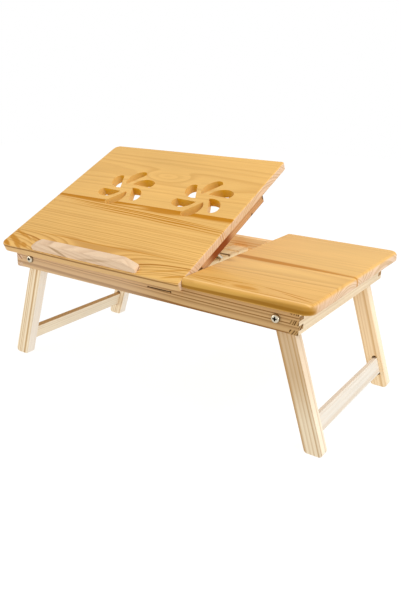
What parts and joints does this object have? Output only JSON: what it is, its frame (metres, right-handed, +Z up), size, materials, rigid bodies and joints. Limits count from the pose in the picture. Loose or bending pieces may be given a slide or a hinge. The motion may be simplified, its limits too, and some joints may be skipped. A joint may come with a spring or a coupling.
{
  "type": "folding laptop table",
  "caption": "Low folding bed table in pine: a finger-jointed frame on splayed folding legs, a small fixed top and a vented tilting panel with book stop and wire prop.",
  "frame": {"origin": "on the floor, under the middle of the table's overall width and depth with the panel standing as in the picture", "axes": "+Z up, +X along the table towards the fixed top, -Y towards the person who sits at it"},
  "size_m": [0.5992, 0.3347, 0.3447],
  "materials": {
    "varnished_pine": "clear amber satin varnish over pine, grain along the length",
    "rail_pine": "thin clear lacquer over tan pine",
    "leg_pine": "thin clear lacquer over pale straw pine",
    "bare_softwood": "sanded bare wood, pale and slightly pink",
    "hidden_wood": "unfinished wood inside joints and under the panel",
    "zinc_steel": "bright zinc plate"
  },
  "bodies": {
    "table_frame": {"front_rail": "rail_pine", "back_rail": "rail_pine", "left_rail": "rail_pine", "right_rail": "rail_pine", "fixed_board_front": "varnished_pine", "fixed_board_rear": "varnished_pine", "rack_bar": "bare_softwood", "top_dowels": "hidden_wood", "rack_dowels": "hidden_wood", "leg_bolts": "zinc_steel", "spacer_washers": "zinc_steel", "nut_washers": "zinc_steel", "lock_nuts": "zinc_steel", "hinge_rail_leaves": "zinc_steel", "hinge_rail_screws": "zinc_steel", "hinge_pins": "zinc_steel"},
    "reading_panel": {"tilt_board_front": "varnished_pine", "tilt_board_middle": "varnished_pine", "tilt_board_rear": "varnished_pine", "left_batten": "hidden_wood", "right_batten": "hidden_wood", "batten_screws": "zinc_steel", "book_stop": "bare_softwood", "book_stop_dowels": "hidden_wood", "hinge_panel_leaves": "zinc_steel", "hinge_panel_screws": "zinc_steel", "prop_block_left": "hidden_wood", "prop_block_right": "hidden_wood", "prop_block_screws": "zinc_steel"},
    "prop": {"prop_bail": "zinc_steel"},
    "left_leg_pair": {"left_front_leg": "leg_pine", "left_rear_leg": "leg_pine", "left_stretcher": "bare_softwood"},
    "right_leg_pair": {"right_front_leg": "leg_pine", "right_rear_leg": "leg_pine", "right_stretcher": "bare_softwood"}
  },
  "joints": [
    {"name": "panel_tilt", "type": "hinge", "parent": "table_frame", "child": "reading_panel", "pos_m": [0, -0.14281, 0.2046], "axis": [1, 0, 0], "range_deg": [-24.4, 0]},
    {"name": "prop_swing", "type": "hinge", "parent": "reading_panel", "child": "prop", "pos_m": [0.005, -0.03482, 0.24491], "axis": [1, 0, 0], "range_deg": [0, 57.53]},
    {"name": "left_leg_fold", "type": "hinge", "parent": "table_frame", "child": "left_leg_pair", "pos_m": [-0.2274, 0.00609, 0.1887], "axis": [0, -1, 0], "range_deg": [0, 107.7]},
    {"name": "right_leg_fold", "type": "hinge", "parent": "table_frame", "child": "right_leg_pair", "pos_m": [0.2274, 0.00609, 0.1887], "axis": [0, 1, 0], "range_deg": [0, 107.7]}
  ],
  "couplings": [
    {"joint": "prop_swing", "follows": "panel_tilt", "ratio": -2.3573}
  ]
}
